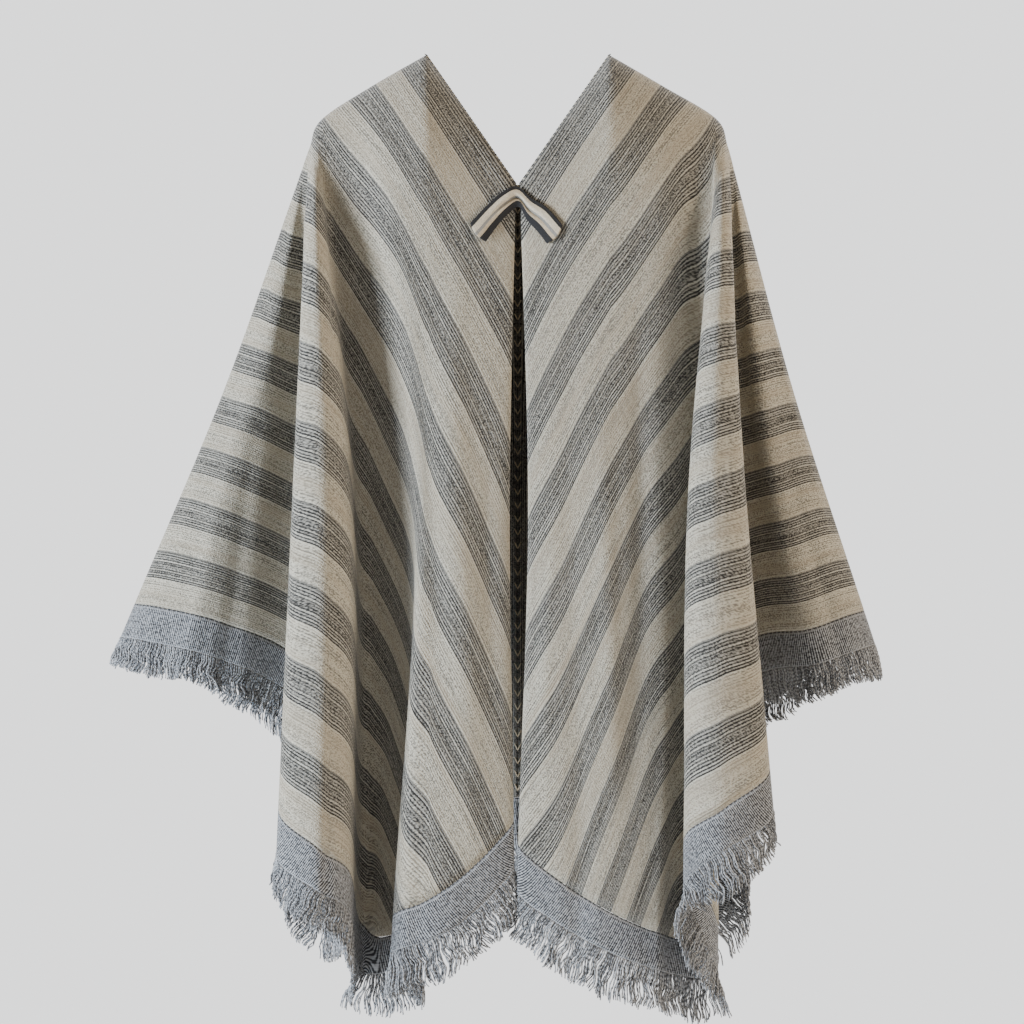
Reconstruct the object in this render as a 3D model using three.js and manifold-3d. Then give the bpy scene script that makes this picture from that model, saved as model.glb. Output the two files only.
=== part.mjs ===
// A woven open-front poncho (ruana), worn and empty. Millimetres, +Z up, the wearer faces -Y.
// Two striped panels run from the front hem over the shoulders to the back hem. They are joined
// down the centre back, open down the centre front, and edged with a plain band and a yarn fringe.
// The origin is the middle of the neck opening at shoulder height, where the wearer carries it.
import * as THREE from "three";
import Module from "manifold-3d";

const wasm = await Module();
wasm.setup();

// Cloth
const clothThickness = 2;
const seamGap = 0.3;
const bandWidth = 37;
const cornerGap = 0.4;
const leastSlant = 0.78; // an edge slanted more than this doesn't lengthen the edging further

// Fringe
const backingWidth = 4;
const strandPitch = 23;
const strandWidth = 8;
const strandLengths = { front: 46, side: 37, back: 42 };
const strandSway = 9;
const strandLean = 0.8; // from hanging straight down, 0, to following the cloth, 1

// Neck
const neckDepth = 134; // from the shoulder ridge down to the foot of the V
const neckReach = 88; // from the shoulder ridge forward to the foot of the V
const neckSlit = 186; // along one edge of the V
const neckFootGap = 3;

// Shoulders
const bodyReach = 102;
const shoulderTurn = 125; // along the ridge, where the cloth starts to turn round the shoulder
const armStart = 192; // along the ridge, where the arm line leaves it

// Throat ribbon
const ribbonLift = 1.6;
const ribbonCrown = 2;
const ribbonThickness = 1.2;

// Surface steps
const downSteps = 10;
const topCrowding = 1.6; // steps crowd towards the shoulder, where the cloth rounds over
const rowSteps = 3;
const shoulderFall = 150; // height over which the cloth rounds over the shoulder

// The shoulder ridge, from the neck to where the arm line starts: along it, outwards, height.
const ridge = {
  right: [
    { along: 0, out: 95, z: 0 },
    { along: 64, out: 149, z: -31 },
    { along: 126, out: 202, z: -66 },
    { along: 156, out: 214, z: -94 },
    { along: 192, out: 225, z: -126 },
  ],
  left: [
    { along: 0, out: 95, z: 0 },
    { along: 64, out: 150, z: -32 },
    { along: 126, out: 204, z: -65 },
    { along: 156, out: 216, z: -93 },
    { along: 192, out: 225, z: -127 },
  ],
};

// One row for each fold, from the turned-in front edge round the arm to the centre back.
// top: where the fold starts, along the ridge (below 0: down the neck edge). tuck: how far it
// starts behind that edge. Then, halfway down and at the hem: the distance outwards from the
// centre and the forward depth, and at the hem the height of the panel's sewn edge.
const foldColumns = ["name", "top", "tuck", "midOut", "midFwd", "lowOut", "lowFwd", "lowZ"];
const foldRows = {
  right: [
    ["turned-in edge", -172, 13, 50, 104, 70, 114, -776],
    ["turned-in flap", -182, 9, 24, 100, 24, 106, -782],
    ["front edge", -186, 0, 10, 112, 6, 118, -790],
    ["inner front", -93, 0, 50, 122, 50, 130, -838],
    ["neck point", 0, 0, 90, 122, 92, 131, -868],
    ["front plane edge", 62, 0, 103, 112, 127, 114, -884],
    ["inner pleat", 84, 0, 113, 88, 100, 88, -892],
    ["corner", 100, 0, 128, 70, 140, 64, -908],
    ["recess", 116, 0, 150, 62, 158, 52, -897],
    ["roll foot", 128, 0, 166, 70, 166, 66, -884],
    ["roll inner edge", 137, 0, 175, 112, 174, 122, -838],
    ["roll crest", 146, 0, 201, 138, 206, 152, -813],
    ["roll outer edge", 156, 0, 228, 112, 243, 116, -768],
    ["outer pleat", 165, 0, 160, 32, 150, 24, -692],
    ["sleeve fold", 174, 0, 224, 14, 232, 10, -617],
    ["sleeve", 182, 0, 262, 40, 306, 42, -584],
    ["sleeve outer", 186, 0, 289, 27, 369, 30, -569],
    ["arm line", 192, 0, 303, 0, 395, 0, -566],
    ["back sleeve outer", 186, 0, 289, -28, 369, -31, -569],
    ["back sleeve", 182, 0, 262, -42, 306, -40, -586],
    ["back sleeve fold", 174, 0, 196, -58, 186, -58, -668],
    ["back outer flank", 165, 0, 218, -92, 230, -94, -742],
    ["back outer roll", 156, 0, 212, -132, 226, -152, -808],
    ["back corner", 146, 0, 194, -138, 201, -162, -856],
    ["back roll flank", 137, 0, 180, -114, 183, -116, -850],
    ["back outer valley", 128, 0, 168, -88, 172, -66, -844],
    ["back valley", 116, 0, 150, -88, 154, -64, -838],
    ["back inner flank", 100, 0, 140, -118, 144, -122, -830],
    ["back roll", 84, 0, 124, -146, 126, -172, -820],
    ["back roll inner", 62, 0, 102, -138, 100, -156, -808],
    ["back neck point", 0, 0, 76, -110, 74, -104, -792],
    ["inner back", -93, 0, 40, -128, 40, -138, -777],
    ["centre back", -186, 0, 0, -114, 0, -116, -768],
  ],
  left: [
    ["turned-in edge", -172, 13, 54, 104, 74, 114, -798],
    ["turned-in flap", -182, 9, 26, 100, 20, 106, -804],
    ["front edge", -186, 0, 12, 112, 2, 118, -814],
    ["inner front", -93, 0, 48, 122, 45, 130, -850],
    ["neck point", 0, 0, 95, 122, 92, 132, -879],
    ["front plane", 58, 0, 137, 116, 133, 124, -898],
    ["front plane outer", 84, 0, 166, 102, 162, 104, -908],
    ["corner", 100, 0, 189, 86, 193, 84, -912],
    ["inner pleat", 116, 0, 206, 92, 205, 92, -897],
    ["roll foot", 128, 0, 190, 112, 190, 116, -856],
    ["roll inner edge", 137, 0, 176, 130, 171, 136, -804],
    ["roll crest", 146, 0, 202, 148, 212, 156, -773],
    ["roll outer edge", 156, 0, 229, 120, 256, 122, -728],
    ["outer pleat", 165, 0, 168, 36, 160, 28, -664],
    ["sleeve fold", 174, 0, 228, 14, 240, 10, -602],
    ["sleeve", 182, 0, 252, 40, 298, 42, -592],
    ["sleeve outer", 186, 0, 273, 27, 339, 30, -578],
    ["arm line", 192, 0, 285, 0, 357, 0, -573],
    ["back sleeve outer", 186, 0, 273, -28, 339, -31, -578],
    ["back sleeve", 182, 0, 252, -42, 296, -40, -594],
    ["back sleeve fold", 174, 0, 198, -58, 188, -58, -668],
    ["back outer flank", 165, 0, 220, -92, 232, -94, -742],
    ["back outer roll", 156, 0, 214, -132, 228, -152, -808],
    ["back corner", 146, 0, 196, -138, 203, -162, -856],
    ["back roll flank", 137, 0, 182, -114, 185, -116, -850],
    ["back outer valley", 128, 0, 170, -88, 174, -66, -844],
    ["back valley", 116, 0, 152, -88, 156, -64, -838],
    ["back inner flank", 100, 0, 142, -118, 146, -122, -830],
    ["back roll", 84, 0, 126, -146, 128, -172, -820],
    ["back roll inner", 58, 0, 104, -138, 102, -156, -808],
    ["back neck point", 0, 0, 78, -110, 76, -104, -792],
    ["inner back", -93, 0, 40, -128, 40, -138, -777],
    ["centre back", -186, 0, 0, -114, 0, -116, -768],
  ],
};

const named = (row) => Object.fromEntries(foldColumns.map((column, i) => [column, row[i]]));
const folds = { right: foldRows.right.map(named), left: foldRows.left.map(named) };

// The wearer's left is +X.
const sides = { right: -1, left: 1 };

const fabric = (color) => new THREE.MeshStandardMaterial({ color, roughness: 0.95, metalness: 0 });
const looks = {
  panel: fabric(0xa7a297),
  band: fabric(0x8b8d92),
  fringe: fabric(0x9a9ca1),
  ribbon: fabric(0xcfc3ab),
};

// A smooth value between rows, through each of them.
function smooth(values, at) {
  const last = values.length - 1;
  const i = Math.min(last - 1, Math.max(0, Math.floor(at)));
  const f = at - i;
  const b = values[i];
  const c = values[i + 1];
  const a = i > 0 ? values[i - 1] : 2 * b - c;
  const d = i + 2 <= last ? values[i + 2] : 2 * c - b;
  const slopeB = (c - a) / 2;
  const slopeC = (d - b) / 2;
  const f2 = f * f;
  const f3 = f2 * f;
  const level = b * (2 * f3 - 3 * f2 + 1) + c * (3 * f2 - 2 * f3);
  return level + slopeB * (f3 - 2 * f2 + f) + slopeC * (f3 - f2);
}

function rowAt(side, at) {
  const rows = folds[side];
  const mixed = {};
  for (const column of foldColumns.slice(1)) {
    mixed[column] = smooth(rows.map((row) => row[column]), at);
  }
  return mixed;
}

// A point of the upper edge: on the shoulder ridge, or down the neck edge in front or behind.
function topPoint(side, row, facing) {
  const line = ridge[side];
  if (row.top >= 0) {
    let i = 0;
    while (i < line.length - 2 && row.top > line[i + 1].along) i += 1;
    const at = i + (row.top - line[i].along) / (line[i + 1].along - line[i].along);
    return {
      out: smooth(line.map((p) => p.out), at),
      fwd: 0,
      z: smooth(line.map((p) => p.z), at),
    };
  }
  const down = Math.min(1, -row.top / neckSlit);
  const foot = facing > 0 ? neckFootGap : 0;
  return {
    out: line[0].out * (1 - down) + foot * down,
    fwd: facing * (neckReach * Math.sin((down * Math.PI) / 2) - row.tuck),
    z: -neckDepth * down,
  };
}

// How far the cloth reaches forward just below the ridge, before its folds open: less and less
// round the shoulder point.
function shoulderReach(along) {
  const round = Math.max(0, (along - shoulderTurn) / (armStart - shoulderTurn));
  return bodyReach * Math.sqrt(Math.max(0, 1 - round ** 2));
}

const armRow = (side) => folds[side].findIndex((row) => row.name === "arm line");

// A point of the cloth's middle surface: at counts rows round the ring, t runs from top to hem.
function clothPoint(side, at, t) {
  const row = rowAt(side, at);
  const facing = at <= armRow(side) ? 1 : -1;
  const top = topPoint(side, row, facing);
  const z = top.z + (row.lowZ - top.z) * t;
  const out = smooth([top.out, row.midOut, row.lowOut], 2 * t);
  const opened = t < 0.5 ? Math.sqrt(2 * t) : 2 * t; // a fold stands out before it leans over
  const body = smooth([facing * (shoulderReach(row.top) - row.tuck), row.midFwd, row.lowFwd], opened);
  const fallen = Math.min(1, (top.z - z) / shoulderFall);
  const rounded = Math.sqrt(1 - (1 - fallen) ** 2);
  const fwd = top.fwd + (body - top.fwd) * rounded;
  return new THREE.Vector3(sides[side] * out, -fwd, z);
}

// The rows, and the steps between them, that a stretch of the ring is built on.
function stops(first, last) {
  const list = [];
  for (let at = first; at < last; at += 1) {
    for (let k = 0; k < rowSteps; k += 1) list.push(at + k / rowSteps);
  }
  list.push(last);
  return list;
}

const heights = Array.from({ length: downSteps + 1 }, (_, j) => (j / downSteps) ** topCrowding);

// A grid of points, one list for each column.
const grid = (columns, rows, point) => columns.map((c) => rows.map((r) => point(c, r)));

function faceNormals(columns, flipped) {
  const normals = new Map();
  const key = (p) => p.toArray().map((v) => v.toFixed(2)).join();
  const add = (p, n) => {
    if (!normals.has(key(p))) normals.set(key(p), new THREE.Vector3());
    normals.get(key(p)).add(n);
  };
  for (let i = 0; i + 1 < columns.length; i += 1) {
    for (let j = 0; j + 1 < columns[i].length; j += 1) {
      const [a, b, c, d] = [columns[i][j], columns[i + 1][j], columns[i + 1][j + 1], columns[i][j + 1]];
      const n = new THREE.Vector3().subVectors(c, a).cross(new THREE.Vector3().subVectors(d, b));
      if (flipped) n.negate();
      for (const p of [a, b, c, d]) add(p, n);
    }
  }
  return (p) => normals.get(key(p)).clone().normalize();
}

// A closed wall of one thickness round a grid of points, along the grid's normals.
function wall(columns, normalAt, thickness, flipped) {
  const points = [];
  const index = new Map();
  const vertex = (p, n, side) => {
    const q = p.clone().addScaledVector(n, (side * thickness) / 2);
    const key = p.toArray().map((v) => v.toFixed(2)).join() + side;
    if (!index.has(key)) {
      index.set(key, points.length / 3);
      points.push(q.x, q.y, q.z);
    }
    return index.get(key);
  };
  const triangles = [];
  const edges = new Map();
  const triangle = (a, b, c) => {
    const [outer, inner] = [1, -1].map((s) => [a, b, c].map((p) => vertex(p, normalAt(p), s)));
    if (new Set(outer).size < 3) return;
    triangles.push(outer[0], outer[1], outer[2], inner[2], inner[1], inner[0]);
    for (let k = 0; k < 3; k += 1) {
      const m = (k + 1) % 3;
      const back = outer[m] + "," + outer[k];
      if (edges.has(back)) edges.delete(back);
      else edges.set(outer[k] + "," + outer[m], [outer[k], outer[m], inner[m], inner[k]]);
    }
  };
  for (let i = 0; i + 1 < columns.length; i += 1) {
    for (let j = 0; j + 1 < columns[i].length; j += 1) {
      const quad = [columns[i][j], columns[i + 1][j], columns[i + 1][j + 1], columns[i][j + 1]];
      if (flipped) quad.reverse();
      triangle(quad[0], quad[1], quad[2]);
      triangle(quad[0], quad[2], quad[3]);
    }
  }
  // Two walls that meet edge to edge split their rims alike: from the higher outer corner.
  for (const [a, b, c, d] of edges.values()) {
    if (points[3 * a + 2] > points[3 * b + 2]) triangles.push(a, d, c, a, c, b);
    else triangles.push(b, a, d, b, d, c);
  }
  const shape = new THREE.BufferGeometry();
  shape.setAttribute("position", new THREE.Float32BufferAttribute(points, 3));
  shape.setIndex(triangles);
  return shape;
}

const solidOf = (shape) =>
  new wasm.Manifold(
    new wasm.Mesh({
      numProp: 3,
      vertProperties: new Float32Array(shape.attributes.position.array),
      triVerts: new Uint32Array(shape.index.array),
    }),
  );

function shapeOf(solid) {
  const mesh = solid.getMesh();
  const shape = new THREE.BufferGeometry();
  const coords = [];
  for (let i = 0; i < mesh.vertProperties.length; i += mesh.numProp) {
    coords.push(...mesh.vertProperties.slice(i, i + 3));
  }
  shape.setAttribute("position", new THREE.Float32BufferAttribute(coords, 3));
  shape.setIndex([...mesh.triVerts]);
  return shape;
}

const poncho = new THREE.Group();

function addPiece(name, shape, look) {
  const mesh = new THREE.Mesh(shape, look);
  mesh.name = name;
  poncho.add(mesh);
}

const flippedOn = (side) => sides[side] > 0;

function makePanel(side) {
  const last = folds[side].length - 1;
  const columns = grid(stops(0, last), heights, (at, t) => clothPoint(side, at, t));
  for (const p of columns.at(-1)) p.x = (sides[side] * seamGap) / 2;
  const raw = faceNormals(columns, flippedOn(side));
  const centre = new Set(columns.at(-1));
  const normalAt = (p) => {
    const n = raw(p);
    if (centre.has(p)) n.setX(0).normalize();
    return n;
  };
  addPiece("panel_" + side, wall(columns, normalAt, clothThickness, flippedOn(side)), looks.panel);
  return { columns, normalAt };
}

// What goes on from the panel's sewn edge. The cloth goes on down its folds, so a point further
// on lies on the fold's own line, as much further as the edge is slanted.
function edgeFrame(panel) {
  const hem = panel.columns.map((column) => column.at(-1));
  return hem.map((p, i) => {
    const way = new THREE.Vector3().subVectors(p, panel.columns[i].at(-2)).normalize();
    const next = hem[Math.min(hem.length - 1, i + 1)];
    const before = hem[Math.max(0, i - 1)];
    const slants = [next, before]
      .map((q) => new THREE.Vector3().subVectors(q, p).normalize())
      .filter((along) => along.lengthSq() > 0)
      .map((along) => way.clone().cross(along).length());
    const slant = slants.reduce((a, b) => a + b) / slants.length;
    return {
      p,
      way,
      n: panel.normalAt(p),
      gap: seamGap / Math.min(...slants),
      stretch: 1 / Math.max(leastSlant, slant),
    };
  });
}

const past = (f, reach) => f.p.clone().addScaledVector(f.way, f.gap + reach * f.stretch);

function edging(part, reaches, flipped) {
  const columns = part.map((f) => reaches.map((reach) => past(f, reach)));
  const normals = new Map();
  columns.forEach((column, i) => column.forEach((p) => normals.set(p, part[i].n)));
  return wall(columns, (p) => normals.get(p), clothThickness, flipped);
}

// One lock of the fringe: three-sided, from its root on the backing to a thin tip.
function strand(root, along, way, out, count, usual) {
  const sway = strandSway * Math.sin(count * 2.4);
  const lift = strandSway * 0.35 * Math.sin(count * 1.7 + 1);
  const down = new THREE.Vector3(0, 0, -1).lerp(way, strandLean).normalize();
  const length = usual * (1 + 0.14 * Math.sin(count * 3.1));
  const half = strandWidth / 2;
  const corner = (a, b) =>
    root.clone().addScaledVector(down, -1).addScaledVector(along, a * half).addScaledVector(out, b * half);
  const tip = root.clone().addScaledVector(down, length);
  tip.addScaledVector(along, sway).addScaledVector(out, lift);
  const points = [corner(-1, -0.4), corner(1, -0.4), corner(0, 0.5), tip].flatMap((p) => p.toArray());
  const faces = [0, 1, 2, 0, 3, 1, 1, 3, 2, 2, 3, 0];
  const shape = new THREE.BufferGeometry();
  shape.setAttribute("position", new THREE.Float32BufferAttribute(points, 3));
  shape.setIndex(faces);
  const solid = solidOf(shape);
  if (solid.volume() > 0) return solid;
  shape.setIndex([...faces].reverse());
  return solidOf(shape);
}

let strands = 0;

function fringeOf(part, flipped, length) {
  const inner = bandWidth + seamGap;
  const edge = part.map((f) => past(f, inner + backingWidth));
  const lengths = edge.slice(1).map((p, i) => p.distanceTo(edge[i]));
  const total = lengths.reduce((a, b) => a + b);
  const count = Math.round(total / strandPitch);
  let fringe = solidOf(edging(part, [inner, inner + backingWidth], flipped));
  let i = 0;
  let passed = 0;
  for (let k = 0; k < count; k += 1) {
    const place = ((k + 0.5) * total) / count;
    while (place > passed + lengths[i]) {
      passed += lengths[i];
      i += 1;
    }
    const along = new THREE.Vector3().subVectors(edge[i + 1], edge[i]).normalize();
    const out = part[i].n.clone().add(part[i + 1].n);
    out.addScaledVector(along, -out.dot(along)).normalize();
    const root = edge[i].clone().addScaledVector(along, place - passed);
    strands += 1;
    fringe = fringe.add(strand(root, along, part[i].way, out, strands, length));
  }
  return shapeOf(fringe);
}

// How far forward the middle of the front cloth lies, at a height and a distance from the centre.
function frontDepth(side, out, z) {
  const at = (row) => {
    const top = topPoint(side, rowAt(side, row), 1).z;
    return clothPoint(side, row, (top - z) / (top - rowAt(side, row).lowZ));
  };
  let low = folds[side].findIndex((row) => row.name === "front edge");
  let high = low + 2;
  for (let step = 0; step < 24; step += 1) {
    const middle = (low + high) / 2;
    if (Math.abs(at(middle).x) < out) low = middle;
    else high = middle;
  }
  return at(low).y;
}

// The ribbon's two edges, from end to end over the foot of the V: across and height.
const ribbon = [
  { upX: -49, upZ: -174, lowX: -35, lowZ: -193 },
  { upX: -33, upZ: -161, lowX: -25, lowZ: -181 },
  { upX: -16, upZ: -149, lowX: -13, lowZ: -169 },
  { upX: 0, upZ: -139, lowX: 1, lowZ: -157 },
  { upX: 15, upZ: -149, lowX: 13, lowZ: -169 },
  { upX: 31, upZ: -160, lowX: 22, lowZ: -181 },
  { upX: 46, upZ: -176, lowX: 34, lowZ: -195 },
];

function makeRibbon() {
  const columns = ribbon.map((row) =>
    [0, 0.5, 1].map((across) => {
      const x = row.upX + (row.lowX - row.upX) * across;
      const z = row.upZ + (row.lowZ - row.upZ) * across;
      const y = frontDepth(x < 0 ? "right" : "left", Math.abs(x), z);
      const crown = ribbonCrown * Math.sin(Math.PI * across);
      return new THREE.Vector3(x, y - clothThickness / 2 - ribbonLift - crown, z);
    }),
  );
  const forward = new THREE.Vector3(0, -1, 0);
  addPiece("throat_ribbon", wall(columns, () => forward, ribbonThickness, true), looks.ribbon);
}

for (const side of Object.keys(sides)) {
  const panel = makePanel(side);
  const frame = edgeFrame(panel);
  const rows = folds[side].map((row) => row.name);
  const corners = [0, rows.indexOf("corner"), rows.indexOf("back corner"), rows.length - 1];
  ["front", "side", "back"].forEach((place, k) => {
    const part = frame.slice(corners[k] * rowSteps, corners[k + 1] * rowSteps + 1);
    // The ends of two edgings that meet at a corner are parted along the edge.
    const inset = part.map((f) => ({ ...f, p: f.p.clone() }));
    if (k > 0) inset[0].p.lerp(part[1].p, cornerGap / part[0].p.distanceTo(part[1].p));
    const [beforeEnd, end] = part.slice(-2);
    if (k < 2) inset.at(-1).p.lerp(beforeEnd.p, cornerGap / end.p.distanceTo(beforeEnd.p));
    addPiece(place + "_band_" + side, edging(inset, [0, bandWidth], flippedOn(side)), looks.band);
    const fringe = fringeOf(inset, flippedOn(side), strandLengths[place]);
    addPiece(place + "_fringe_" + side, fringe, looks.fringe);
  });
}
makeRibbon();

export default poncho;
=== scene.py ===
# Woven open-front poncho, worn and empty: cloth, bands, fringe, ribbon and hand stitches.
# Lengths in the tables are millimetres, and the meshes are metres. The wearer faces -Y.
import math

import bpy
import numpy as np
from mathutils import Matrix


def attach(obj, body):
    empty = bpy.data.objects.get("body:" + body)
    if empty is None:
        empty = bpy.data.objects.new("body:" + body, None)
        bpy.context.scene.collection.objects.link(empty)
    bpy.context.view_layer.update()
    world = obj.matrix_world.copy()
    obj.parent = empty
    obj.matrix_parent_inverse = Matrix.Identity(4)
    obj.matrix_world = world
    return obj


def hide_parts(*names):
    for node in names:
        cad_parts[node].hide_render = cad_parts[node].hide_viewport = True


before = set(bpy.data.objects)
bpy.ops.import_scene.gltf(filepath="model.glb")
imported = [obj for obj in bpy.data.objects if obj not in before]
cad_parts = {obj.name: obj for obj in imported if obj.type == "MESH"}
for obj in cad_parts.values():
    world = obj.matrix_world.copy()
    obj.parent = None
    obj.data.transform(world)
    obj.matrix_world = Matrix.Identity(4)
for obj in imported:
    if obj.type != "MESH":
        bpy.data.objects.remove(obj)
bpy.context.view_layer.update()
mm = 0.001

# Camera: level with the middle of the garment, straight in front
camera = {"distance": 14.0, "lens": 477.8, "x": -0.006, "y": -0.045, "z": -0.471}

bpy.ops.object.camera_add(
    location=(camera["x"], camera["y"] - camera["distance"], camera["z"]),
    rotation=(math.radians(90), 0, 0),
)
bpy.context.object.data.lens = camera["lens"]
bpy.context.scene.camera = bpy.context.object

# The form of the cloth, the same as the solid part's
form = {
    "neckDepth": 134,
    "neckReach": 88,
    "neckSlit": 186,
    "neckFootGap": 3,
    "bodyReach": 102,
    "shoulderTurn": 125,
    "armStart": 192,
    "shoulderFall": 150,
    "seamGap": 0.3,
    "bandWidth": 37,
    "cornerGap": 0.4,
    "leastSlant": 0.78,
    "leastGapSlant": 0.3,
    "hemChord": 0.155,
}
cloth = {
    "thickness": 2,
    "stepsPerRow": 10,
    "stepsDown": 96,
    "crowding": 1.3,
    "stripeWidth": 30.5,
    "stripes": 22,
    "halfLength": 783,
    "mapStripes": 24,
    "mapLength": 1600,
}

# along the shoulder ridge from the neck, outwards, height
ridge = {
    "right": [(0, 95, 0), (64, 149, -31), (126, 202, -66), (156, 214, -94), (192, 225, -126)],
    "left": [(0, 95, 0), (64, 150, -32), (126, 204, -65), (156, 216, -93), (192, 225, -127)],
}

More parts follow.
